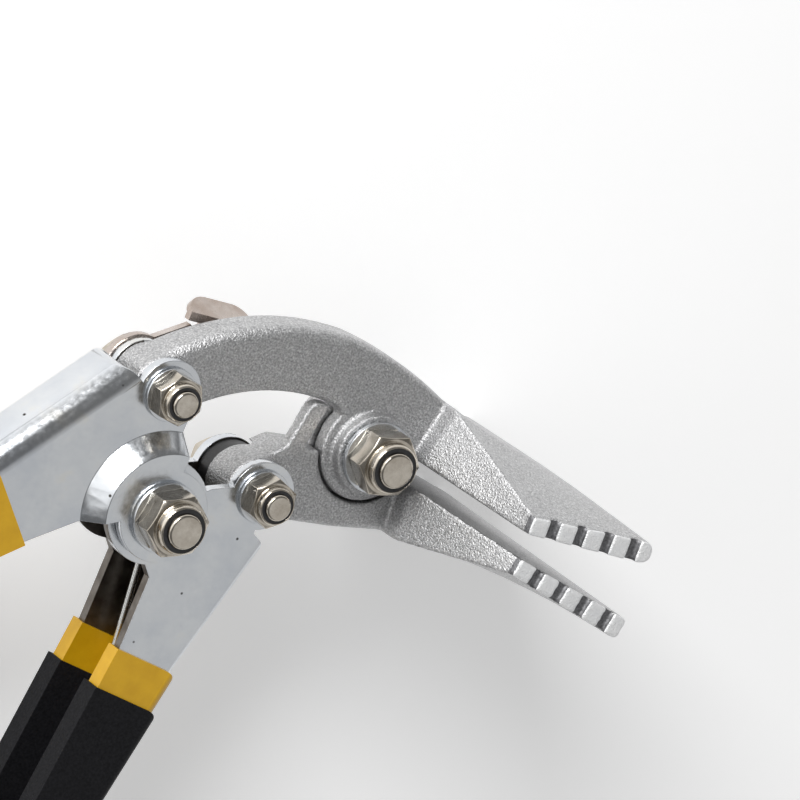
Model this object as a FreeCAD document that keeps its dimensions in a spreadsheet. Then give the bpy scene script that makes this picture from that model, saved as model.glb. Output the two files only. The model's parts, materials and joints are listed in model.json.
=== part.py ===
import FreeCAD, Part
import Sketcher
import math
import os
import re

# Compound-leverage hand seamer, millimetres. Z runs along the four pivot axes. X runs forward along the
# upper jaw. The origin is the centre of the upper jaw's grip face, which looks down along -Y.
# The tool stands open, with the lower jaw's stop finger just clear of the upper arm.

SIZES = [
    ("jaw_width", 83.0), ("jaw_reach", 54.0), ("grip_depth", 32.0), ("grip_drop", 1.4),
    ("edge_thick", 3.9), ("jaw_open", 13.0), ("shut_gap", 0.3), ("neck_half", 10.0),
    ("neck_front", 10.6), ("neck_lean", 15.5), ("upper_neck_low", 1.3), ("upper_neck_high", 15.2),
    ("upper_ridge", 12.0), ("lower_neck_low", -14.2), ("lower_ridge", -11.4), ("nose_thick", 5.0),
    ("nose_round", 2.3), ("lower_reach", 56.0), ("lower_nose_round", 0.8),
    ("notch_pitch", 7.1), ("notch_wide", 2.6), ("notch_deep", 1.3), ("notch_inset", 4.9),
    ("arm_thick", 10.6), ("arm_round", 2.6), ("tail_radius", 7.4), ("link_radius", 7.7),
    ("knee_back", 12.9), ("knee_high", 23.0), ("arch_back", 11.5), ("arch_high", 7.7),
    ("tail_back", 54.6), ("tail_rise", 2.0), ("link_back", 24.3), ("link_drop", 14.4),
    ("hinge_back", 47.8), ("hinge_drop", 23.3), ("upper_angle", 222.0), ("lower_angle", 260.7),
    ("boss_half", 8.2), ("boss_radius", 9.0), ("lap_radius", 11.4), ("lap_low", 1.0),
    ("lap_gap", 0.3), ("socket_radius", 12.0), ("bush_wide", 11.0), ("turn_fit", 0.05),
    ("finger_high", 4.5), ("finger_wide", 4.2), ("finger_deep", 3.4), ("finger_back", 14.6),
    ("sheet_thick", 2.5), ("bend_round", 6.5), ("tight_bend", 3.2), ("side_gap", 0.2), ("lower_inner", 7.2),
    ("dish_top", 13.4), ("dish_foot", 17.8), ("dish_gap", 0.3), ("disc_radius", 10.5),
    ("ear_radius", 7.5), ("under_disc", 12.0), ("handle_long", 150.0), ("bow_start", 75.0),
    ("sleeve_start", 30.3), ("sleeve_long", 9.3), ("dip_thick", 0.9), ("grip_thick", 1.7),
    ("small_bolt", 6.0), ("small_across", 10.0), ("small_nut", 6.0), ("small_head", 4.0),
    ("large_bolt", 8.0), ("large_across", 13.0), ("large_nut", 8.0), ("large_head", 5.3),
    ("small_washer", 12.0), ("small_plate", 1.1), ("large_washer", 16.0), ("large_plate", 1.5),
    ("bolt_proud", 0.8), ("stack_gap", 0.05), ("link_float", 0.55), ("link_boss_low", -2.8),
    ("spacer_wide", 14.4), ("tube_wide", 11.4), ("wire_thick", 1.7), ("coil_radius", 7.3),
    ("coil_half", 3.5), ("lower_leg", 35.0), ("upper_leg", 37.0), ("leg_lean", 14.3),
    ("upper_lean", 25.0), ("latch_thick", 2.0), ("latch_radius", 7.9), ("tab_flare", 4.6),
]
ALIASES = {name for name, amount in SIZES}

doc = FreeCAD.newDocument("HandSeamer")
sheet = doc.addObject("Spreadsheet::Sheet", "Sizes")
for row, (name, amount) in enumerate(SIZES, start=1):
    sheet.set("A%d" % row, name)
    sheet.set("B%d" % row, str(amount))
    sheet.setAlias("B%d" % row, name)
gauge = doc.addObject("App::FeaturePython", "Gauge")
gauge.addProperty("App::PropertyFloat", "Reading")
doc.recompute()


def bound(text):
    """The expression with each size's name pointing at its cell."""
    def cell(word):
        return "Sizes." + word.group() if word.group() in ALIASES else word.group()

    return re.sub(r"[a-z_]+", cell, str(text))


def number(text):
    """What an expression over the sizes comes to."""
    gauge.setExpression("Reading", bound(text))
    gauge.recompute()
    return gauge.Reading


def turned(x, y, angle):
    """A point's coordinates, as expressions, in a frame turned by an angle."""
    across = "((%s) * cos(%s) + (%s) * sin(%s))" % (x, angle, y, angle)
    upward = "((%s) * cos(%s) - (%s) * sin(%s))" % (y, angle, x, angle)
    return across, upward


def along(first, second, x):
    """The height at x of the straight line through two points."""
    rise = "((%s) - (%s)) / ((%s) - (%s))" % (second[1], first[1], second[0], first[0])
    return "((%s) + ((%s) - (%s)) * %s)" % (first[1], x, first[0], rise)


def sketch_on(body, role, name, level="0", lean="0"):
    """A sketch on one of the body's own planes, raised to a level and leaned about its upright axis."""
    plane = [feature for feature in body.Origin.OriginFeatures if feature.Role == role][0]
    sketch = body.newObject("Sketcher::SketchObject", name)
    sketch.AttachmentSupport = [(plane, "")]
    sketch.MapMode = "FlatFace"
    spin = FreeCAD.Rotation(FreeCAD.Vector(0, 1, 0), number(lean))
    sketch.AttachmentOffset = FreeCAD.Placement(FreeCAD.Vector(0, 0, number(level)), spin)
    sketch.setExpression(".AttachmentOffset.Base.z", bound(level))
    return sketch


def pin(sketch, edge, end, x, y):
    """Holds one end of an edge at a place given by two expressions."""
    for kind, text in (("DistanceX", x), ("DistanceY", y)):
        index = sketch.addConstraint(Sketcher.Constraint(kind, -1, 1, edge, end, number(text)))
        sketch.setExpression("Constraints[%d]" % index, bound(text))


def outline(sketch, corners):
    """A closed outline. A corner is (x, y), or (x, y, radius) where the edge that leaves it is an arc that
    bulges to the right of its way, or to the left where the radius is negative."""
    spots = [FreeCAD.Vector(number(corner[0]), number(corner[1]), 0) for corner in corners]
    ends = []
    for index, corner in enumerate(corners):
        begin = spots[index]
        finish = spots[(index + 1) % len(spots)]
        if len(corner) == 2:
            edge = sketch.addGeometry(Part.LineSegment(begin, finish), False)
            ends.append((edge, 1, 2))
            continue
        radius = number(corner[2])
        chord = finish - begin
        side = FreeCAD.Vector(chord.y, -chord.x, 0).normalize() * math.copysign(1, radius)
        sagitta = abs(radius) - math.sqrt(radius ** 2 - (chord.Length / 2) ** 2)
        arc = Part.Arc(begin, (begin + finish) / 2 + side * sagitta, finish).toShape().Curve
        first, last = (begin, finish) if radius > 0 else (finish, begin)
        piece = Part.ArcOfCircle(Part.Circle(arc.Center, FreeCAD.Vector(0, 0, 1), abs(radius)),
                                 math.atan2(first.y - arc.Center.y, first.x - arc.Center.x),
                                 math.atan2(last.y - arc.Center.y, last.x - arc.Center.x))
        edge = sketch.addGeometry(piece, False)
        ends.append((edge, 1, 2) if radius > 0 else (edge, 2, 1))
    for index, corner in enumerate(corners):
        edge, start, stop = ends[index]
        onward = ends[(index + 1) % len(ends)]
        sketch.addConstraint(Sketcher.Constraint("Coincident", edge, stop, onward[0], onward[1]))
    for index, corner in enumerate(corners):
        edge, start, stop = ends[index]
        pin(sketch, edge, start, corner[0], corner[1])
        if len(corner) == 3:
            radius = sketch.addConstraint(Sketcher.Constraint("Radius", edge, abs(number(corner[2]))))
            sketch.setExpression("Constraints[%d]" % radius, bound("abs(%s)" % corner[2]))


def ring(sketch, x, y, radius):
    """A circle in a sketch."""
    centre = FreeCAD.Vector(number(x), number(y), 0)
    edge = sketch.addGeometry(Part.Circle(centre, FreeCAD.Vector(0, 0, 1), number(radius)), False)
    pin(sketch, edge, 3, x, y)
    index = sketch.addConstraint(Sketcher.Constraint("Radius", edge, number(radius)))
    sketch.setExpression("Constraints[%d]" % index, bound(radius))


def volume_of(body):
    doc.recompute()
    return body.Shape.Volume if not body.Shape.isNull() else 0.0


def slab(body, name, low, high, corners=None, circle=None, cut=False, role="XY_Plane"):
    """A pad, or a pocket, between two levels along the plane's normal."""
    before = volume_of(body)
    sketch = sketch_on(body, role, name + "_sketch", low)
    if corners:
        outline(sketch, corners)
    else:
        ring(sketch, *circle)
    feature = body.newObject("PartDesign::" + ("Pocket" if cut else "Pad"), name)
    feature.Profile = sketch
    feature.Reversed = cut
    feature.Length = number("(%s) - (%s)" % (high, low))
    feature.setExpression("Length", bound("(%s) - (%s)" % (high, low)))
    change = volume_of(body) - before
    if (change < 0) != cut or change == 0:
        raise RuntimeError("%s changed nothing" % name)
    return feature


def turned_cut(body, name, corner_lists):
    """A groove turned about the body's own Z axis."""
    before = volume_of(body)
    sketch = sketch_on(body, "XZ_Plane", name + "_sketch")
    for corners in corner_lists:
        outline(sketch, corners)
    groove = body.newObject("PartDesign::Groove", name)
    groove.Profile = sketch
    axis = [feature for feature in body.Origin.OriginFeatures if feature.Role == "Z_Axis"][0]
    groove.ReferenceAxis = (axis, [""])
    groove.Angle = 360
    if volume_of(body) >= before:
        raise RuntimeError("%s cut nothing" % name)


def edges_where(shape, test):
    """The names of the edges that pass a test on their end points."""
    names = []
    for index, edge in enumerate(shape.Edges, start=1):
        points = [vertex.Point for vertex in edge.Vertexes]
        if test(edge, points):
            names.append("Edge%d" % index)
    return names


def fillet(body, name, radius, test):
    """A fillet on the edges that pass a test."""
    doc.recompute()
    base = body.Tip
    feature = body.newObject("PartDesign::Fillet", name)
    feature.Base = (base, edges_where(base.Shape, test))
    feature.Radius = number(radius)
    feature.setExpression("Radius", bound(radius))
    doc.recompute()
    if "Invalid" in feature.State or "Error" in feature.State or not feature.Shape.isValid():
        raise RuntimeError("%s failed" % name)


def joins(points, first, second):
    """Whether two end points are, in plan, the two corners given as expressions."""
    near = 0.02
    wanted = [(number(corner[0]), number(corner[1])) for corner in (first, second)]
    plan = [(point.x, point.y) for point in points]
    if len(plan) != 2:
        return False
    straight = math.dist(plan[0], wanted[0]) < near and math.dist(plan[1], wanted[1]) < near
    crossed = math.dist(plan[0], wanted[1]) < near and math.dist(plan[1], wanted[0]) < near
    return straight or crossed


def at_level(points, level):
    return all(abs(abs(point.z) - level) < 0.01 for point in points)


def new_body(label):
    body = doc.addObject("PartDesign::Body", label)
    body.Label = label
    nodes.append(body)
    return body


def placed(x, y, z="0", turn="0", flip=False):
    """The placement of a piece whose frame starts at a pivot."""
    spin = FreeCAD.Rotation(FreeCAD.Vector(0, 0, 1), number(turn))
    if flip:
        spin = spin * FreeCAD.Rotation(FreeCAD.Vector(1, 0, 0), 180)
    return FreeCAD.Placement(FreeCAD.Vector(number(x), number(y), number(z)), spin)


nodes = []

# The main pivot, and the other three pivots measured from it.
PIVOT = ("grip_depth / 2 - jaw_reach", "grip_drop")
TAIL = ("-tail_back", "tail_rise")
LINK = ("-link_back", "-link_drop")
HINGE = ("-hinge_back", "-hinge_drop")
SIDE = "(jaw_width / 2)"
ARM_HALF = "(arm_thick / 2)"
BUSH_BORE = "(bush_wide / 2 + turn_fit)"


def where(pivot):
    """A pivot's place in the tool's frame, as two expressions."""
    return "(%s) + (%s)" % (PIVOT[0], pivot[0]), "(%s) + (%s)" % (PIVOT[1], pivot[1])


def jaw_plate(body, neck_low, neck_high, ridge, inner, way, reach, lean, nose_radius):
    """The flared plate of a jaw, lofted from the leaning neck through the rear corners to the nose. It
    thickens away from its inner face, upwards for a way of 1 and downwards for -1."""
    rear_outer = "%s + %d * edge_thick" % (inner, way)
    nose_outer = "%s + %d * nose_thick" % (inner, way)
    stations = [("Neck", "neck_front", lean, neck_low, neck_high, neck_high, "neck_half"),
                ("Rear", reach + " - grip_depth", "0", inner, rear_outer, ridge, SIDE),
                ("Nose", reach, "0", inner, nose_outer, nose_outer, SIDE)]
    sketches = []
    for name, level, tilt, low, edge, middle, half in stations:
        sketch = sketch_on(body, "YZ_Plane", name, level, tilt)
        shoulder = "neck_half * 0.8"
        outline(sketch, [(low, "-" + half), (low, half), (edge, half), (middle, shoulder),
                         (middle, "-" + shoulder), (edge, "-" + half)])
        sketches.append(sketch)
    loft = body.newObject("PartDesign::AdditiveLoft", "Plate")
    loft.Profile = sketches[0]
    loft.Sections = sketches[1:]
    loft.Ruled = True
    doc.recompute()
    tip = number(reach)
    fillet(body, "Nose_round", nose_radius, lambda edge, points: edge.Length > number("2 * nose_thick")
           and all(abs(point.x - tip) < 0.01 for point in points))


def side_notches(body, reach):
    """Four notches in each side edge of a jaw, across its thickness."""
    for count in range(4):
        middle = "(%s - notch_inset - %d * notch_pitch)" % (reach, count)
        for side in (1, -1):
            inside = "%d * (%s - notch_deep)" % (side, SIDE)
            outside = "%d * (%s + notch_deep)" % (side, SIDE)
            left = middle + " - notch_wide / 2"
            right = middle + " + notch_wide / 2"
            name = "Notch_%d_%s" % (count, "near" if side > 0 else "far")
            sketch = sketch_on(body, "XZ_Plane", name + "_sketch")
            outline(sketch, [(left, inside), (right, inside), (right, outside), (left, outside)])
            pocket = body.newObject("PartDesign::Pocket", name)
            pocket.Profile = sketch
            pocket.Type = "ThroughAll"
            pocket.SideType = "Symmetric"
    doc.recompute()


# Upper jaw: a casting. Its arched arm ends in the tail eye, its lap and boss lie over the lower jaw.
upper = new_body("upper_jaw")
neck_top = ("neck_front + upper_neck_high * sin(neck_lean)", "upper_neck_high * cos(neck_lean)")
tail_top = ("-tail_back - 3.9", "tail_rise + 6.3")
tail_foot = ("-tail_back + 5.2", "tail_rise - 5.2")
knee = ("-knee_back", "knee_high")
arch = ("-arch_back", "arch_high")
slab(upper, "Arm", "-" + ARM_HALF, ARM_HALF,
     [tail_top, TAIL, tail_foot + ("-46",), arch, ("-3", "0"), ("neck_front + 3", "upper_neck_low"),
      neck_top + ("90",), knee + ("64",)])
fillet(upper, "Arm_top", "arm_round", lambda edge, points: at_level(points, number(ARM_HALF))
       and (joins(points, neck_top, knee) or joins(points, knee, tail_top)))
fillet(upper, "Arm_under", "arm_round / 2", lambda edge, points: at_level(points, number(ARM_HALF))
       and joins(points, tail_foot, arch))
slab(upper, "Tail", "-" + ARM_HALF, ARM_HALF, circle=TAIL + ("tail_radius",))
jaw_plate(upper, "upper_neck_low", "upper_neck_high", "upper_ridge", "-grip_drop", 1, "jaw_reach",
          "-neck_lean", "nose_round")
side_notches(upper, "jaw_reach")
slab(upper, "Lap", "lap_low + lap_gap", ARM_HALF, circle=("0", "0", "lap_radius"))
slab(upper, "Boss", ARM_HALF, "boss_half", circle=("0", "0", "boss_radius"))
slab(upper, "Relief", "-jaw_width", "lap_low + lap_gap", circle=("0", "0", "socket_radius + 0.6"), cut=True)
slab(upper, "Bush_bore", "-jaw_width", "jaw_width", circle=("0", "0", BUSH_BORE), cut=True)
slab(upper, "Tail_bore", "-jaw_width", "jaw_width", circle=TAIL + ("small_bolt / 2 + turn_fit",), cut=True)
upper.Placement = placed(*PIVOT)

# Lower jaw: the matching casting, drawn shut and swung open about the main pivot. Its disc fills the
# far half of the pivot, its short arm carries the link eye, and its finger stops the opening.
lower = new_body("lower_jaw")
link_shut = turned(LINK[0], LINK[1], "-jaw_open")
lower_top = "(-grip_drop - shut_gap)"
low_neck = ("neck_front - lower_neck_low * sin(neck_lean)", "lower_neck_low * cos(neck_lean)")
link_top = (link_shut[0] + " - 2.2", link_shut[1] + " + 7.2")
link_foot = (link_shut[0] + " + 3.3", link_shut[1] + " - 6.9")
waist = ("-9.5", "-22.3")
heel = ("-finger_back - finger_wide", "-7.8")
slab(lower, "Arm", "-" + ARM_HALF, ARM_HALF,
     [link_top, link_shut, link_foot, waist, ("2.5", "-18.4"), low_neck,
      ("neck_front + 2", lower_top), ("0", lower_top), heel])
fillet(lower, "Arm_under", "arm_round * 0.8", lambda edge, points: at_level(points, number(ARM_HALF))
       and (joins(points, waist, ("2.5", "-18.4")) or joins(points, ("2.5", "-18.4"), low_neck)))
slab(lower, "Finger", ARM_HALF + " - finger_deep", ARM_HALF,
     [("-finger_back - finger_wide", "-11"), ("-finger_back", "-11"), ("-finger_back", "finger_high - 1"),
      ("-finger_back - 0.7", "finger_high"), ("-finger_back - finger_wide + 0.9", "finger_high - 0.9"),
      ("-finger_back - finger_wide", "finger_high - 2.2")])
jaw_plate(lower, lower_top, "lower_neck_low", "lower_ridge", lower_top, -1, "lower_reach", "neck_lean",
          "lower_nose_round")
side_notches(lower, "lower_reach")
slab(lower, "Link_boss", "link_boss_low", "lower_inner - side_gap", circle=link_shut + ("link_radius",))
slab(lower, "Spot_face", "-lower_inner", "link_boss_low", circle=link_shut + ("link_radius + 0.6",), cut=True)
slab(lower, "Socket", "lap_low", "jaw_width", circle=("0", "0", "socket_radius"), cut=True)
slab(lower, "Disc", "-boss_half", "lap_low", circle=("0", "0", "socket_radius"))
slab(lower, "Bush_bore", "-jaw_width", "jaw_width", circle=("0", "0", BUSH_BORE), cut=True)
slab(lower, "Link_bore", "-jaw_width", "jaw_width",
     circle=link_shut + ("small_bolt / 2 + link_float",), cut=True)
lower.Placement = placed(*PIVOT, turn="-jaw_open")


def channel(body, outer, web, free, front, extra="0", start=None):
    """A folded U channel: web and free list the corners of its two long sides from front to end. The
    handle itself has extra 0, and a dipped skin round it stands out by extra on every side."""
    close = ["%s + (%s)" % (corner[1], extra) for corner in web]
    shut = ["%s - (%s)" % (corner[1], extra) for corner in free]
    tip = "handle_long + (%s)" % extra
    body_outline = []
    if start is None:
        body_outline += [(web[0][0], close[0])]
    else:
        body_outline += [(start, along((web[0][0], close[0]), (web[1][0], close[1]), start))]
    for index in range(1, len(web)):
        at_end = index == len(web) - 1
        body_outline += [(tip if at_end else web[index][0], close[index]) + tuple(web[index][2:])]
    for index in range(len(free) - 1, -1, -1):
        at_end = index == len(free) - 1
        x = tip if at_end else free[index][0]
        if start is not None and index == 0:
            x = start
        body_outline += [(x, shut[index]) + tuple(free[index][2:])]
    body_outline += front
    slab(body, "Blank", "-(%s) - (%s)" % (outer, extra), "(%s) + (%s)" % (outer, extra), body_outline)


def hollow(body, inner, web, extra, wall):
    """Clears the space between the two flanges, up to the web's inner face."""
    shift = "(sheet_thick + (%s))" % extra
    lead = "(%s - 60)" % web[0][0]
    rail = [(lead, along(web[0], web[1], lead) + " - " + shift)]
    for corner in web[1:-1]:
        rail += [(corner[0], "%s - %s" % (corner[1], shift)) + tuple(corner[2:])]
    rail += [(web[-1][0], "%s - %s" % (web[-1][1], shift)),
             ("handle_long + 8", "%s - %s" % (web[-1][1], shift)), ("handle_long + 8", "-60"), (lead, "-60")]
    slab(body, "Hollow", "-(%s) + (%s)" % (inner, extra), "(%s) - (%s)" % (inner, extra), rail, cut=True)


def bends(body, outer, web, radius, extra="0"):
    """Rounds the outside of the two folds."""
    level = number("(%s) + (%s)" % (outer, extra))
    heights = [number(corner[1]) + number(extra) for corner in web]
    lowest = min(heights) - 0.05
    places = [number(corner[0]) for corner in web]

    def on_web(edge, points):
        if not at_level(points, level) or len(points) != 2 or edge.Length < 8:
            return False
        for point in points:
            line = heights[0] + (heights[1] - heights[0]) * (point.x - places[0]) / (places[1] - places[0])
            on_line = point.x <= places[1] + 0.01 and abs(point.y - line) < 0.03
            on_end = any(abs(point.y - height) < 0.03 for height in heights[1:])
            if not (on_line or (on_end and point.y >= lowest)):
                return False
        return True

    fillet(body, "Folds", radius, on_web)


UPPER_INNER = "(arm_thick / 2 + side_gap)"
UPPER_OUTER = "(arm_thick / 2 + side_gap + sheet_thick)"
LOWER_OUTER = "(lower_inner + sheet_thick)"
DISH_INNER = "(lower_inner + sheet_thick + dish_gap)"
DISH_OUTER = "(lower_inner + 2 * sheet_thick + dish_gap)"

# Where each handle's own frame, from the hinge along the grip, meets the pivots.
tail_from_hinge = ("hinge_back - tail_back", "hinge_drop + tail_rise")
tail_x, tail_up = turned(tail_from_hinge[0], tail_from_hinge[1], "upper_angle")
TAIL_IN_HANDLE = (tail_x, "-" + tail_up)
LINK_IN_HANDLE = turned("hinge_back - link_back", "hinge_drop - link_drop", "lower_angle")

UPPER_WEB = [("-5.2", "35.8"), ("bow_start", "26.7", "-500"), ("handle_long", "12")]
UPPER_FREE = [("34", "9"), ("55", "11"), ("handle_long", "-2.5", "251")]
LOWER_WEB = [("-2.8", "29.3"), ("29", "24.2"), ("bow_start", "20.9", "-600"), ("handle_long", "15.2")]
LOWER_FREE = [("30.4", "8.2"), ("bow_start", "8.6"), ("handle_long", "0.7", "400")]

# Upper handle: folded steel sheet, dished outwards round the hinge to lie over the lower handle.
upper_handle = new_body("upper_handle")
ear_side = (TAIL_IN_HANDLE[0] + " - 3.3", TAIL_IN_HANDLE[1] + " - 6.7")
upper_front = [("17", "6.5"), ("9.4", "4.0"), ("0", "0"), ("-9.4", "9.0"), ("-12", "13.5"), ear_side,
               TAIL_IN_HANDLE, (TAIL_IN_HANDLE[0] + " + 4.8", TAIL_IN_HANDLE[1] + " + 5.7")]
channel(upper_handle, DISH_OUTER, UPPER_WEB, UPPER_FREE, upper_front)
slab(upper_handle, "Hinge_disc", "-" + DISH_OUTER, DISH_OUTER, circle=("0", "0", "disc_radius"))
slab(upper_handle, "Ear", "-" + DISH_OUTER, DISH_OUTER, circle=TAIL_IN_HANDLE + ("ear_radius",))
edge_of_dish = []
for sign in ("", "-"):
    edge_of_dish.append([("dish_foot", sign + UPPER_OUTER), ("dish_top + 0.6", sign + DISH_OUTER),
                         ("dish_top + 0.6", sign + "(%s + 5)" % DISH_OUTER),
                         ("handle_long + 40", sign + "(%s + 5)" % DISH_OUTER),
                         ("handle_long + 40", sign + UPPER_OUTER)])
turned_cut(upper_handle, "Outside_of_dish", edge_of_dish)
bends(upper_handle, UPPER_OUTER, UPPER_WEB, "bend_round")
hollow(upper_handle, UPPER_INNER, UPPER_WEB, "0", UPPER_INNER)
inside_dish = [[("0", "-" + DISH_INNER), ("dish_top", "-" + DISH_INNER),
                ("dish_foot - 0.8", "-" + UPPER_INNER), ("dish_foot - 0.8", UPPER_INNER),
                ("dish_top", DISH_INNER), ("0", DISH_INNER)]]
turned_cut(upper_handle, "Inside_of_dish", inside_dish)
slab(upper_handle, "Tail_hole", "-jaw_width", "jaw_width",
     circle=TAIL_IN_HANDLE + ("small_bolt / 2 + turn_fit",), cut=True)
slab(upper_handle, "Hinge_hole", "-jaw_width", "jaw_width",
     circle=("0", "0", "large_bolt / 2 + turn_fit"), cut=True)
HINGE_AT = where(HINGE)
upper_handle.Placement = placed(*HINGE_AT, turn="upper_angle", flip=True)

# Lower handle: the other channel, flat-sided, its flanges inside the dish and outside the link eye.
lower_handle = new_body("lower_handle")
lower_front = [("13.6", "6.1"), ("11.3", "3.4"), ("0", "0"), ("-9.4", "9.4"), ("-12.9", "16.4"),
               LINK_IN_HANDLE, ("-4.4", "24.6")]
channel(lower_handle, LOWER_OUTER, LOWER_WEB, LOWER_FREE, lower_front)
slab(lower_handle, "Hinge_disc", "-" + LOWER_OUTER, LOWER_OUTER, circle=("0", "0", "under_disc"))
slab(lower_handle, "Ear", "-" + LOWER_OUTER, LOWER_OUTER, circle=LINK_IN_HANDLE + ("link_radius",))
bends(lower_handle, LOWER_OUTER, LOWER_WEB, "tight_bend")
hollow(lower_handle, "lower_inner", LOWER_WEB, "0", "lower_inner")
slab(lower_handle, "Arm_room", "-lower_inner", "lower_inner", [("-30", "14"), ("3.4", "14"), ("3.4", "60"),
     ("-30", "60")], cut=True)
slab(lower_handle, "Link_hole", "-jaw_width", "jaw_width",
     circle=LINK_IN_HANDLE + ("small_bolt / 2 + turn_fit",), cut=True)
slab(lower_handle, "Hinge_hole", "-jaw_width", "jaw_width",
     circle=("0", "0", "large_bolt / 2 + turn_fit"), cut=True)
lower_handle.Placement = placed(*HINGE_AT, turn="lower_angle")


def skin(label, handle, outer, inner, web, free, radius, thick, start, under=None):
    """A dipped skin over a handle, from a start line to past the end: its blank less what it covers."""
    blank = doc.addObject("PartDesign::Body", label + "_blank")
    channel(blank, outer, web, free, [], extra=thick, start=start)
    bends(blank, outer, web, radius, extra=thick)
    hollow(blank, inner, web, thick, inner)
    blank.Placement = handle.Placement
    piece = doc.addObject("Part::Cut", label)
    piece.Base = blank
    piece.Tool = under if under is not None else handle
    piece.Label = label
    nodes.append(piece)
    doc.recompute()
    return blank


# Each grip: a thin yellow dip on the steel, and a thicker black one over it that leaves a yellow band.
for side, handle, outer, inner, web, free, radius in (
        ("upper", upper_handle, UPPER_OUTER, UPPER_INNER, UPPER_WEB, UPPER_FREE, "bend_round"),
        ("lower", lower_handle, LOWER_OUTER, "lower_inner", LOWER_WEB[1:], LOWER_FREE, "tight_bend")):
    dip = skin(side + "_sleeve", handle, outer, inner, web, free, radius, "dip_thick", "sleeve_start")
    solid = doc.addObject("Part::Fuse", side + "_dipped")
    solid.Base = dip
    solid.Tool = handle
    doc.recompute()
    skin(side + "_grip", handle, outer, inner, web, free, radius, "grip_thick",
         "sleeve_start + sleeve_long", solid)


def hexagon(across):
    """The six corners of a hexagon, from its width across flats."""
    reach = "(%s) / 2 / cos(30)" % across
    return [("%s * cos(%d)" % (reach, 60 * step), "%s * sin(%d)" % (reach, 60 * step)) for step in range(6)]


def trim_corners(body, across, level, rise):
    """Turns the corners of a hexagon down at 30 degrees, at the level of one of its faces."""
    inside = "((%s) / 2 * 0.97)" % across
    outside = "((%s) / 2 / cos(30) + 1)" % across
    drop = "%s - %d * (%s - %s) * tan(30)" % (level, rise, outside, inside)
    turned_cut(body, "Chamfer_%s" % ("top" if rise > 0 else "foot"),
               [[(inside, level), (outside, level), (outside, drop)]])


def lock_nut(label, pivot, size, level, clock):
    """A nut with a rolled collar that holds a nylon ring."""
    thread = size + "_bolt"
    across = size + "_across"
    tall = size + "_nut"
    body = new_body(label)
    slab(body, "Hexagon", "0", tall + " * 0.7", hexagon(across))
    trim_corners(body, across, tall + " * 0.7", 1)
    trim_corners(body, across, "0", -1)
    slab(body, "Collar", tall + " * 0.5", tall, circle=("0", "0", across + " * 0.43"))
    top = number(tall)
    fillet(body, "Rolled_edge", tall + " * 0.14",
           lambda edge, points: len(points) == 1 and abs(points[0].z - top) < 0.01)
    slab(body, "Thread", "-1", tall + " + 1", circle=("0", "0", thread + " / 2 + turn_fit"), cut=True)
    slab(body, "Ring_seat", tall + " * 0.68", tall + " + 1", circle=("0", "0", thread + " * 0.63"), cut=True)
    body.Placement = placed(*where(pivot), level, clock)
    insert = new_body(label + "_insert")
    slab(insert, "Ring", tall + " * 0.68", tall + " * 0.96", circle=("0", "0", thread + " * 0.63 - 0.02"))
    slab(insert, "Bore", "0", tall + " + 1", circle=("0", "0", thread + " / 2 + turn_fit"), cut=True)
    insert.Placement = placed(*where(pivot), level)


def hex_bolt(label, pivot, size, low, high, clock):
    """A bolt whose head bears on a level below and whose end stands at a level above."""
    body = new_body(label)
    slab(body, "Head", "-%s_head" % size, "0", hexagon(size + "_across"))
    trim_corners(body, size + "_across", "-%s_head" % size, -1)
    slab(body, "Shank", "-1", "(%s) - (%s)" % (high, low), circle=("0", "0", size + "_bolt / 2"))
    top = number("(%s) - (%s)" % (high, low))
    fillet(body, "End_round", "0.7", lambda edge, points: len(points) == 1 and abs(points[0].z - top) < 0.01)
    body.Placement = placed(*where(pivot), low, clock)


def flat_ring(label, pivot, outer, bore, low, high):
    """A plain washer, bush or spacer, turned between two levels."""
    disc = doc.addObject("Part::Cylinder", label + "_disc")
    hole = doc.addObject("Part::Cylinder", label + "_hole")
    for piece, radius in ((disc, outer), (hole, bore)):
        piece.Radius = number(radius)
        piece.setExpression("Radius", bound(radius))
        piece.Height = number("(%s) - (%s)" % (high, low))
        piece.setExpression("Height", bound("(%s) - (%s)" % (high, low)))
    cut = doc.addObject("Part::Cut", label)
    cut.Base = disc
    cut.Tool = hole
    cut.Label = label
    cut.Placement = placed(*where(pivot), low)
    nodes.append(cut)


def joint_hardware(name, pivot, size, low, high, clock):
    """The bolt, the two washers and the lock nut that clamp one pivot between two levels."""
    plate = size + "_plate"
    bore = size + "_bolt / 2 + 0.2"
    under = "(%s) - stack_gap" % low
    over = "(%s) + stack_gap" % high
    flat_ring(name + "_far_washer", pivot, size + "_washer / 2", bore, "%s - %s" % (under, plate), under)
    flat_ring(name + "_near_washer", pivot, size + "_washer / 2", bore, over, "%s + %s" % (over, plate))
    seat = "%s + %s + stack_gap" % (over, plate)
    lock_nut(name + "_nut", pivot, size, seat, clock)
    hex_bolt(name + "_bolt", pivot, size, "%s - %s - stack_gap" % (under, plate),
             "%s + %s_nut + bolt_proud" % (seat, size), clock)


joint_hardware("jaw_pivot", ("0", "0"), "large", "-boss_half - 0.1", "boss_half + 0.1", "11")
UNDER_LATCH = "-%s - latch_thick - 2 * stack_gap" % UPPER_OUTER
joint_hardware("tail_pivot", TAIL, "small", UNDER_LATCH, UPPER_OUTER, "48")
joint_hardware("link_pivot", LINK, "small", "-" + LOWER_OUTER, LOWER_OUTER, "35")
joint_hardware("hinge", HINGE, "large", "-" + DISH_OUTER, DISH_OUTER, "20")

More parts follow.
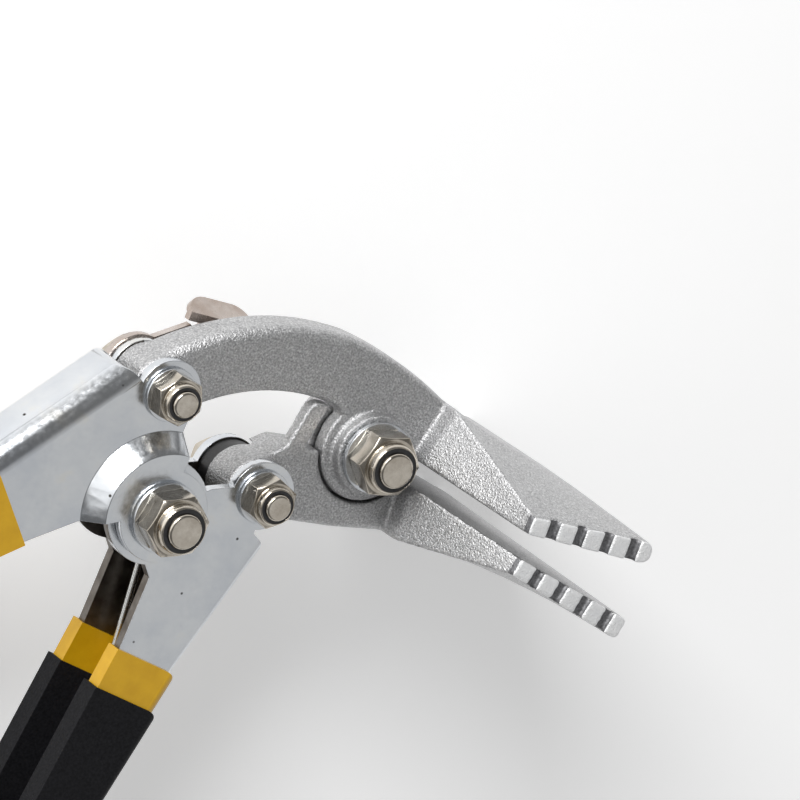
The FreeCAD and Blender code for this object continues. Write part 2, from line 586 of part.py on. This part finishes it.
flat_ring("jaw_pivot_bush", ("0", "0"), "bush_wide / 2", "large_bolt / 2 + turn_fit",
          "-boss_half - 0.1", "boss_half + 0.1")
flat_ring("link_spacer", LINK, "spacer_wide / 2", "small_bolt / 2 + turn_fit",
          "-lower_inner + 0.1", "link_boss_low - 0.2")
flat_ring("hinge_tube", HINGE, "tube_wide / 2", "large_bolt / 2 + turn_fit",
          "-lower_inner + 0.05", "lower_inner - 0.05")

# Latch: a plate on the tail pivot, outside the far ear, with its thumb tab bent outwards. All points are
# measured from the tail pivot.
latch = new_body("latch")
slab(latch, "Plate", "-latch_thick", "0",
     [("-5.2", "-6"), ("-7.6", "2.1"), ("9.1", "12.5"), ("10.6", "11.4"), ("12.4", "13.4"), ("24.6", "15.2"),
      ("24.6", "9"), ("16.5", "4.5"), ("7.4", "-3")])
slab(latch, "Eye", "-latch_thick", "0", circle=("0", "0", "latch_radius"))
slab(latch, "Thumb_tab", "8.2", "24.6",
     [("13.2", "-latch_thick"), ("13.2", "0"), ("15.2", "0"), ("18.1", "-tab_flare"),
      ("16.7", "-tab_flare - 1.4"), ("14.6", "-latch_thick")], role="YZ_Plane")
fillet(latch, "Tab_round", "4.8", lambda edge, points: len(points) == 2
       and all(point.y > 16.5 for point in points) and abs(points[0].x - points[1].x) < 0.01)
slab(latch, "Bore", "-9", "9", circle=("0", "0", "small_bolt / 2 + turn_fit"), cut=True)
latch.Placement = placed(*where(TAIL), "-%s - stack_gap" % UPPER_OUTER)

# Return spring: round wire wound about the hinge tube. One leg lies in the lower handle and belongs with
# the coil, the other lies in the upper handle and turns with it, so it is a node of its own.
hinge_spot = FreeCAD.Vector(number(HINGE_AT[0]), number(HINGE_AT[1]), 0)
wire = number("wire_thick") / 2
coil = number("coil_radius")
half = number("coil_half")


lower_way = number("lower_angle + leg_lean")
upper_way = number("upper_angle - upper_lean")
begin = lower_way + 90.0
finish = upper_way - 90.0
turns = 3 + ((finish - begin) % 360.0) / 360.0
helix = Part.makeLongHelix(2 * half / turns, 2 * half, coil)
start_edge = Part.Wire(helix.Edges).Edges[0]
tangent = start_edge.tangentAt(start_edge.FirstParameter)
profile = Part.Wire([Part.makeCircle(wire, FreeCAD.Vector(coil, 0, 0), tangent)])
coils = Part.Wire(helix.Edges).makePipeShell([profile], True, True)
coils.rotate(FreeCAD.Vector(), FreeCAD.Vector(0, 0, 1), begin)
coils.translate(FreeCAD.Vector(0, 0, -half))
pieces = {}
for name, angle, side, level, length, gap in (
        ("return_spring", lower_way, begin, -half, number("lower_leg"), 0.0),
        ("return_spring_upper_leg", upper_way, finish, half, number("upper_leg"), wire + 0.15)):
    way = FreeCAD.Vector(math.cos(math.radians(angle)), math.sin(math.radians(angle)), 0)
    out = FreeCAD.Vector(math.cos(math.radians(side)), math.sin(math.radians(side)), 0)
    rod = Part.makeCylinder(wire, length - gap, out * coil + FreeCAD.Vector(0, 0, level) + way * gap, way)
    elbow = Part.makeSphere(wire * 1.04, out * coil + FreeCAD.Vector(0, 0, level))
    shape = coils.fuse([elbow, rod]) if name == "return_spring" else rod
    spring = doc.addObject("Part::Feature", name)
    spring.Shape = shape
    spring.Placement = FreeCAD.Placement(hinge_spot, FreeCAD.Rotation())
    spring.Label = name
    nodes.append(spring)

doc.recompute()
for item in doc.Objects:
    if "Invalid" in item.State or "Error" in item.State:
        raise RuntimeError("failed: %s" % item.Name)
os.makedirs("parts", exist_ok=True)
for node in nodes:
    shape = node.Shape
    if shape.isNull() or not shape.isValid() or not shape.Solids:
        raise RuntimeError("bad shape: %s" % node.Label)
for node in nodes:
    node.Shape.exportStep("parts/%s.step" % node.Label)
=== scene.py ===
import json
import math

import bmesh
import bpy
from mathutils import Matrix, Vector


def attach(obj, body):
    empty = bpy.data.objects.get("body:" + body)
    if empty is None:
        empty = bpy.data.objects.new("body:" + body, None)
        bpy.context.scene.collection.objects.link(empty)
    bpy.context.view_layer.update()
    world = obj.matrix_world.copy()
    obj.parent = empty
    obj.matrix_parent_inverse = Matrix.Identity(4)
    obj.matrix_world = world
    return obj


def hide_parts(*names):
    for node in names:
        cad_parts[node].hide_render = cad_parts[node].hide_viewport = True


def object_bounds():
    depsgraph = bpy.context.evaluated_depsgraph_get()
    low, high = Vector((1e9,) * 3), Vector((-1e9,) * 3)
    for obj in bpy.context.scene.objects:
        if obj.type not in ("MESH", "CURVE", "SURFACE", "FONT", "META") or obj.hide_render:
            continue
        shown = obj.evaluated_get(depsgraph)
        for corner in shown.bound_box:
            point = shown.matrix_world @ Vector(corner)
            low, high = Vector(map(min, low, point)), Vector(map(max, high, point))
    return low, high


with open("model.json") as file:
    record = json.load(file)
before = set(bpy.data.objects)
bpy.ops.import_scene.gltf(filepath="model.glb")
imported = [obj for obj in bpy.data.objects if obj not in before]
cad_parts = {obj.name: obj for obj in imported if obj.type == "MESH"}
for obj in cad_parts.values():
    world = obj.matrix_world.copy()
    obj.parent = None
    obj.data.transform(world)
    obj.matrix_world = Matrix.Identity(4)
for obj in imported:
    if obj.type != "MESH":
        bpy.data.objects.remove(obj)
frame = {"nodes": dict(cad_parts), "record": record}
cad_low, cad_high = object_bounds()
nodes = frame["nodes"]


# Camera: a very long lens above the near side, looking down and forward along the jaws, so far back
# that the jaws' near and far edges come out almost the same length.
look_at = Vector((-0.0316, 0.0130, 0.0))
towards_camera = Vector((-0.5486, 0.1677, 0.819)).normalized()
picture_up = Vector((-0.2100, 0.9212, -0.3295)).normalized()
picture_right = picture_up.cross(towards_camera).normalized()
camera_distance = 3.0
camera = bpy.data.objects.new("camera", bpy.data.cameras.new("camera"))
bpy.context.scene.collection.objects.link(camera)
picture_up = towards_camera.cross(picture_right).normalized()
turn = Matrix((picture_right, picture_up, towards_camera)).transposed()
camera.matrix_world = Matrix.Translation(look_at + towards_camera * camera_distance) @ turn.to_4x4()
camera.data.lens = 625.7
camera.data.clip_end = 20.0
bpy.context.scene.camera = camera


# Floor and light: a white table under one large soft lamp at the upper left. The room is dim above, with
# a bright wall at the left and a softer one at the right, and a dark gap between them and the lamp draws
# the band along the channels' folds.
table_gap = 0.0002
table_size = 12.0
bpy.ops.mesh.primitive_plane_add(size=table_size, location=(0.0, 0.0, cad_low.z - table_gap))
table = bpy.context.object
table.name = "table"
table_paint = bpy.data.materials.new("table_paint")
table_paint.use_nodes = True
table_shader = table_paint.node_tree.nodes["Principled BSDF"]
table_shader.inputs["Base Color"].default_value = (0.93, 0.93, 0.93, 1.0)
table_shader.inputs["Roughness"].default_value = 0.6
table_shader.inputs["Emission Color"].default_value = (1.0, 1.0, 1.0, 1.0)
table_shader.inputs["Emission Strength"].default_value = 0.27
table.data.materials.append(table_paint)


def lamp(name, place, aim, width, height, watts):
    light = bpy.data.lights.new(name, "AREA")
    light.shape = "RECTANGLE"
    light.size = width
    light.size_y = height
    light.energy = watts
    piece = bpy.data.objects.new(name, light)
    bpy.context.scene.collection.objects.link(piece)
    piece.location = place
    piece.rotation_euler = (Vector(aim) - Vector(place)).to_track_quat("-Z", "Y").to_euler()


lamp("window_lamp", (-0.85, 0.70, 0.62), (-0.03, 0.0, 0.0), 0.6, 0.5, 12.0)

room = bpy.data.worlds.new("room")
bpy.context.scene.world = room
room.use_nodes = True
room_tree = room.node_tree
room_light = room_tree.nodes["Background"]
way = room_tree.nodes.new("ShaderNodeTexCoord")


def patch(towards, dim_edge, bright_edge, low, high):
    """A soft round patch of the room, from low outside to high at its middle."""
    aim = room_tree.nodes.new("ShaderNodeVectorMath")
    aim.operation = "DOT_PRODUCT"
    aim.inputs[1].default_value = Vector(towards).normalized()
    room_tree.links.new(way.outputs["Generated"], aim.inputs[0])
    spread = room_tree.nodes.new("ShaderNodeMapRange")
    spread.interpolation_type = "SMOOTHSTEP"
    spread.inputs["From Min"].default_value = dim_edge
    spread.inputs["From Max"].default_value = bright_edge
    spread.inputs["To Min"].default_value = low
    spread.inputs["To Max"].default_value = high
    room_tree.links.new(aim.outputs["Value"], spread.inputs["Value"])
    return spread.outputs["Result"]


def added(first, second):
    total = room_tree.nodes.new("ShaderNodeMath")
    total.operation = "ADD"
    room_tree.links.new(first, total.inputs[0])
    room_tree.links.new(second, total.inputs[1])
    return total.outputs[0]


right_wall = patch((0.62, -0.25, 0.72), 0.70, 0.95, 0.0, 0.42)
left_wall = patch((-0.90, 0.25, 0.20), 0.66, 0.92, 0.0, 1.05)
overhead = patch((0.0, 0.0, 1.0), -0.1, 0.4, 0.85, 0.16)
room_tree.links.new(added(added(right_wall, left_wall), overhead), room_light.inputs["Color"])
room_light.inputs["Strength"].default_value = 1.0
bpy.context.scene.view_settings.view_transform = "Standard"


def finish_of(name):
    """A new node-based finish, with its tree, its shader and its Object coordinates."""
    finish = bpy.data.materials.new(name)
    finish.use_nodes = True
    tree = finish.node_tree
    coordinates = tree.nodes.new("ShaderNodeTexCoord")
    return finish, tree, tree.nodes["Principled BSDF"], coordinates.outputs["Object"]


def grain(tree, place, scale, detail=3.0, roughness=0.6):
    """Noise at a number of cells per metre."""
    noise = tree.nodes.new("ShaderNodeTexNoise")
    noise.inputs["Scale"].default_value = scale
    noise.inputs["Detail"].default_value = detail
    noise.inputs["Roughness"].default_value = roughness
    tree.links.new(place, noise.inputs["Vector"])
    return noise.outputs["Fac"]


def ramp(tree, value, stops):
    """A colour ramp over a value."""
    node = tree.nodes.new("ShaderNodeValToRGB")
    elements = node.color_ramp.elements
    while len(elements) < len(stops):
        elements.new(0.5)
    for element, (position, color) in zip(elements, stops):
        element.position = position
        element.color = tuple(color) + (1.0,) if len(color) == 3 else color
    tree.links.new(value, node.inputs["Fac"])
    return node.outputs["Color"]


def grey(level):
    return (level, level, level)


def bumps(tree, shader, heights):
    """Chains bump nodes: each entry is (height, depth in metres, strength)."""
    normal = None
    for height, depth, strength in heights:
        bump = tree.nodes.new("ShaderNodeBump")
        bump.inputs["Distance"].default_value = depth
        bump.inputs["Strength"].default_value = strength
        tree.links.new(height, bump.inputs["Height"])
        if normal is not None:
            tree.links.new(normal, bump.inputs["Normal"])
        normal = bump.outputs["Normal"]
    tree.links.new(normal, shader.inputs["Normal"])


body_of = {name: body for body, names in frame["record"]["behaviour"]["bodies"].items() for name in names}


def eased(names, finish, ease):
    """Stands a copy of each CAD node in for it, with its sharp edges eased by a small round."""
    for name in names:
        mesh = nodes[name].data.copy()
        shape = bmesh.new()
        shape.from_mesh(mesh)
        bmesh.ops.remove_doubles(shape, verts=shape.verts, dist=0.000004)
        bmesh.ops.dissolve_limit(shape, angle_limit=math.radians(1.0), verts=shape.verts, edges=shape.edges)
        shape.to_mesh(mesh)
        shape.free()
        blank = bpy.data.objects.new(name + "_sharp", mesh)
        bpy.context.scene.collection.objects.link(blank)
        round_over = blank.modifiers.new("ease", "BEVEL")
        round_over.limit_method = "ANGLE"
        round_over.angle_limit = math.radians(40.0)
        round_over.width = ease
        round_over.segments = 2
        round_over.harden_normals = True
        ready = blank.evaluated_get(bpy.context.evaluated_depsgraph_get())
        piece = bpy.data.objects.new(name + "_eased", bpy.data.meshes.new_from_object(ready))
        bpy.context.scene.collection.objects.link(piece)
        bpy.data.objects.remove(blank)
        piece.data.materials.clear()
        piece.data.materials.append(finish)
        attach(piece, body_of[name])
        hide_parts(name)


def dress(names, finish):
    """Puts a finish on every slot of some CAD nodes."""
    for name in names:
        slots = nodes[name].data.materials
        for index in range(len(slots)):
            slots[index] = finish
        if not len(slots):
            slots.append(finish)


# Jaws: sand castings, blasted and plated a nickel grey, with a fine pebbled skin and every corner
# softened by the mould. Their side edges are ground, so those faces are smooth and pale, and their colour
# is pushed to near white as a painted highlight. The notches between them stay rough and carry painted
# shade.
casting, tree, shader, place = finish_of("blasted_casting")
shader.inputs["Metallic"].default_value = 1.0
fine = grain(tree, place, 2300.0, 2.0)
coarse = grain(tree, place, 420.0, 3.0)
rough_color = ramp(tree, fine, [(0.30, (0.34, 0.34, 0.345)), (0.52, (0.54, 0.54, 0.545)),
                                (0.70, (0.78, 0.78, 0.78))])
ground_from = 0.04095
ground_to = 0.04125
axes = tree.nodes.new("ShaderNodeSeparateXYZ")
tree.links.new(place, axes.inputs[0])
outward = tree.nodes.new("ShaderNodeMath")
outward.operation = "ABSOLUTE"
tree.links.new(axes.outputs["Z"], outward.inputs[0])
ground = tree.nodes.new("ShaderNodeMapRange")
ground.inputs["From Min"].default_value = ground_from
ground.inputs["From Max"].default_value = ground_to
tree.links.new(outward.outputs[0], ground.inputs["Value"])
# Ground lands: their paler ground tone plus a painted highlight, near white and (through shine) less
# metallic.
land_color_and_painted_highlight = ramp(tree, coarse, [(0.3, (0.93, 0.94, 0.95)), (0.7, (0.99, 0.99, 0.99))])
mix = tree.nodes.new("ShaderNodeMix")
mix.data_type = "RGBA"
tree.links.new(ground.outputs["Result"], mix.inputs["Factor"])
tree.links.new(rough_color, mix.inputs["A"])
tree.links.new(land_color_and_painted_highlight, mix.inputs["B"])
tree.links.new(mix.outputs["Result"], shader.inputs["Base Color"])
shine = tree.nodes.new("ShaderNodeMapRange")
shine.inputs["To Min"].default_value = 1.0
shine.inputs["To Max"].default_value = 0.45
tree.links.new(ground.outputs["Result"], shine.inputs["Value"])
tree.links.new(shine.outputs["Result"], shader.inputs["Metallic"])
tree.links.new(ramp(tree, coarse, [(0.3, grey(0.38)), (0.7, grey(0.50))]), shader.inputs["Roughness"])
bumps(tree, shader, [(fine, 0.00032, 0.9), (coarse, 0.0004, 0.3)])

# Notches in the jaws' side edges: painted shade, a dark grey casting colour put in the notches for the
# shade that falls there. notch_floor and land_edge are the distances from the middle plane between which
# that painted shade shows.
notch_painted_shade, tree, shader, place = finish_of("notch_painted_shade_finish")
shader.inputs["Metallic"].default_value = 1.0
notch_shade_noise = grain(tree, place, 1900.0, 3.0)
tree.links.new(ramp(tree, notch_shade_noise, [(0.3, (0.13, 0.13, 0.135)), (0.7, (0.30, 0.30, 0.31))]),
               shader.inputs["Base Color"])
tree.links.new(ramp(tree, notch_shade_noise, [(0.3, grey(0.45)), (0.7, grey(0.60))]), shader.inputs["Roughness"])
bumps(tree, shader, [(notch_shade_noise, 0.00015, 0.6)])
notch_floor = 0.0398
land_edge = 0.0411

casting_cell = 0.00045
merge_reach = 0.000005
for name in ("upper_jaw", "lower_jaw"):
    blank = bpy.data.objects.new(name + "_blank", nodes[name].data.copy())
    bpy.context.scene.collection.objects.link(blank)
    shape = bmesh.new()
    shape.from_mesh(blank.data)
    bmesh.ops.remove_doubles(shape, verts=shape.verts, dist=merge_reach)
    shape.to_mesh(blank.data)
    shape.free()
    remesh = blank.modifiers.new("mould", "REMESH")
    remesh.mode = "VOXEL"
    remesh.voxel_size = casting_cell
    smooth = blank.modifiers.new("soften", "SMOOTH")
    smooth.factor = 0.5
    smooth.iterations = 5
    ready = blank.evaluated_get(bpy.context.evaluated_depsgraph_get())
    cast = bpy.data.objects.new(name + "_casting", bpy.data.meshes.new_from_object(ready))
    bpy.context.scene.collection.objects.link(cast)
    bpy.data.objects.remove(blank)
    cast.data.materials.clear()
    cast.data.materials.append(casting)
    cast.data.materials.append(notch_painted_shade)
    for polygon in cast.data.polygons:
        polygon.use_smooth = True
        # Faces in the notches take the painted shade finish.
        if notch_floor < abs(polygon.center.z) < land_edge and abs(polygon.normal.y) < 0.6:
            polygon.material_index = 1
    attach(cast, name)
    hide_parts(name)

# Channels: cold-rolled sheet, folded and zinc plated, so nearly a mirror with a cloudy bloom, fine
# specks in the plate and a few dark pits.
zinc, tree, shader, place = finish_of("bright_zinc")
shader.inputs["Metallic"].default_value = 1.0
specks = grain(tree, place, 900.0, 4.0)
cloud = grain(tree, place, 90.0, 4.0)
pits = tree.nodes.new("ShaderNodeTexVoronoi")
pits.inputs["Scale"].default_value = 160.0
tree.links.new(place, pits.inputs["Vector"])
plate_color = ramp(tree, cloud, [(0.3, (0.66, 0.69, 0.73)), (0.6, (0.76, 0.78, 0.80)),
                                 (0.75, (0.80, 0.79, 0.75))])
pit_mask = tree.nodes.new("ShaderNodeMapRange")
pit_mask.inputs["From Min"].default_value = 0.045
pit_mask.inputs["From Max"].default_value = 0.075
tree.links.new(pits.outputs["Distance"], pit_mask.inputs["Value"])
pitted = tree.nodes.new("ShaderNodeMix")
pitted.data_type = "RGBA"
pitted.inputs["A"].default_value = (0.05, 0.045, 0.04, 1.0)
tree.links.new(pit_mask.outputs["Result"], pitted.inputs["Factor"])
tree.links.new(plate_color, pitted.inputs["B"])
tree.links.new(pitted.outputs["Result"], shader.inputs["Base Color"])
tree.links.new(ramp(tree, specks, [(0.35, grey(0.16)), (0.70, grey(0.27))]), shader.inputs["Roughness"])
bumps(tree, shader, [(specks, 0.00002, 0.3), (cloud, 0.0004, 0.10)])
eased(["upper_handle", "lower_handle"], zinc, 0.00022)

# Channel insides and sheared sheet edges: painted shade, a dark brownish colour for the shade inside the
# channel; the sheared edges get the same dark colour. A face counts as one of these by where it lies across
# the channel and which way it looks.
channel_painted_shade, tree, shader, place = finish_of("channel_inside_painted_shade")
shader.inputs["Metallic"].default_value = 1.0
channel_shade_noise = grain(tree, place, 260.0, 4.0)
tree.links.new(ramp(tree, channel_shade_noise, [(0.3, (0.11, 0.095, 0.08)), (0.7, (0.24, 0.22, 0.20))]),
               shader.inputs["Base Color"])
tree.links.new(ramp(tree, channel_shade_noise, [(0.3, grey(0.30)), (0.7, grey(0.45))]), shader.inputs["Roughness"])
bumps(tree, shader, [(channel_shade_noise, 0.00006, 0.3)])
hinge_spot = Vector((-0.0858, -0.0219, 0.0))
upper_angle = 222.0
lower_angle = 260.7
sheet_thick = 0.0025
edge_margin = 0.0007
for name, along, open_side, flange_inside, dish_reach in (
        ("upper_handle", upper_angle, 1.0, 0.0055, 0.0185),
        ("lower_handle", lower_angle, -1.0, 0.0072, 0.0)):
    piece = bpy.data.objects[name + "_eased"]
    piece.data.materials.append(channel_painted_shade)
    grip_way = Vector((math.cos(math.radians(along)), math.sin(math.radians(along)), 0.0))
    web_way = Vector((grip_way.y, -grip_way.x, 0.0)) * open_side
    for polygon in piece.data.polygons:
        spot = polygon.center - hinge_spot
        past_dish = spot.dot(grip_way) > dish_reach
        inner_flange = abs(abs(spot.z) - flange_inside) < edge_margin and polygon.normal.z * spot.z < 0.0
        inner_web = abs(spot.z) < flange_inside and polygon.normal.dot(web_way) < -0.5
        cut_edge = (flange_inside + 0.0002 < abs(spot.z) < flange_inside + sheet_thick
                    and abs(polygon.normal.z) < 0.3 and polygon.normal.dot(web_way) < -0.5)
        # Faces inside the channel and on its sheared edges take the painted shade finish.
        if past_dish and (inner_flange or inner_web or cut_edge):
            polygon.material_index = 1

# Latch: a thin stamping in the same zinc plate, its face warmer and scratched by the thumb. It hangs on
# the tail bolt, behind the upper handle.
latch_plate, tree, shader, place = finish_of("worn_zinc")
shader.inputs["Metallic"].default_value = 1.0
scratch = grain(tree, place, 700.0, 5.0)
cloud = grain(tree, place, 120.0, 3.0)
tree.links.new(ramp(tree, cloud, [(0.3, (0.44, 0.36, 0.31)), (0.7, (0.66, 0.60, 0.56))]),
               shader.inputs["Base Color"])
tree.links.new(ramp(tree, scratch, [(0.35, grey(0.22)), (0.70, grey(0.36))]), shader.inputs["Roughness"])
bumps(tree, shader, [(scratch, 0.00003, 0.4)])
eased(["latch"], latch_plate, 0.00030)

# Fasteners: nickel-coloured plate over turned and cold-formed steel, a little darker in patches. The
# washers are stamped and have the channels' zinc plate.
nickel, tree, shader, place = finish_of("fastener_plate")
shader.inputs["Metallic"].default_value = 1.0
mottle = grain(tree, place, 350.0, 3.0)
tree.links.new(ramp(tree, mottle, [(0.3, (0.50, 0.45, 0.38)), (0.7, (0.68, 0.63, 0.55))]),
               shader.inputs["Base Color"])
tree.links.new(ramp(tree, mottle, [(0.3, grey(0.14)), (0.7, grey(0.22))]), shader.inputs["Roughness"])
bumps(tree, shader, [(mottle, 0.00008, 0.25)])
dress(["hinge_tube", "jaw_pivot_bush"], nickel)
eased([name for name in nodes if name.endswith(("_nut", "_bolt"))], nickel, 0.00016)
eased([name for name in nodes if name.endswith("_washer")], zinc, 0.00015)

# Nylon rings and the link spacer: black moulded plastic with a faint texture. The rings are pressed into
# the lock nuts' collars.
nylon, tree, shader, place = finish_of("moulded_nylon")
texture = grain(tree, place, 1500.0, 2.0)
tree.links.new(ramp(tree, texture, [(0.3, (0.010, 0.010, 0.011)), (0.7, (0.022, 0.022, 0.024))]),
               shader.inputs["Base Color"])
shader.inputs["Roughness"].default_value = 0.42
bumps(tree, shader, [(texture, 0.00005, 0.3)])
dress([name for name in nodes if name.endswith("_insert")] + ["link_spacer"], nylon)

# Return spring: bright drawn wire, wound cold round the hinge tube, with faint lines from the die.
drawn, tree, shader, place = finish_of("drawn_wire")
shader.inputs["Metallic"].default_value = 1.0
shader.inputs["Base Color"].default_value = (0.72, 0.72, 0.70, 1.0)
lines = grain(tree, place, 1200.0, 3.0)
tree.links.new(ramp(tree, lines, [(0.3, grey(0.16)), (0.7, grey(0.30))]), shader.inputs["Roughness"])
bumps(tree, shader, [(lines, 0.00002, 0.4)])
dress(["return_spring", "return_spring_upper_leg"], drawn)

# Handle dips: a thin satin yellow vinyl first, then a thicker matt black one that leaves a yellow band.
yellow, tree, shader, place = finish_of("yellow_vinyl")
ripple = grain(tree, place, 220.0, 3.0)
tree.links.new(ramp(tree, ripple, [(0.3, (0.60, 0.33, 0.004)), (0.7, (0.68, 0.39, 0.008))]),
               shader.inputs["Base Color"])
shader.inputs["Roughness"].default_value = 0.36
bumps(tree, shader, [(ripple, 0.0002, 0.2)])
eased(["upper_sleeve", "lower_sleeve"], yellow, 0.00030)

black, tree, shader, place = finish_of("black_vinyl")
skin = grain(tree, place, 1700.0, 2.0)
tree.links.new(ramp(tree, skin, [(0.3, (0.006, 0.006, 0.007)), (0.7, (0.014, 0.014, 0.016))]),
               shader.inputs["Base Color"])
shader.inputs["Roughness"].default_value = 0.58
shader.inputs["Specular IOR Level"].default_value = 0.12
bumps(tree, shader, [(skin, 0.00012, 0.6)])
eased(["upper_grip", "lower_grip"], black, 0.00045)
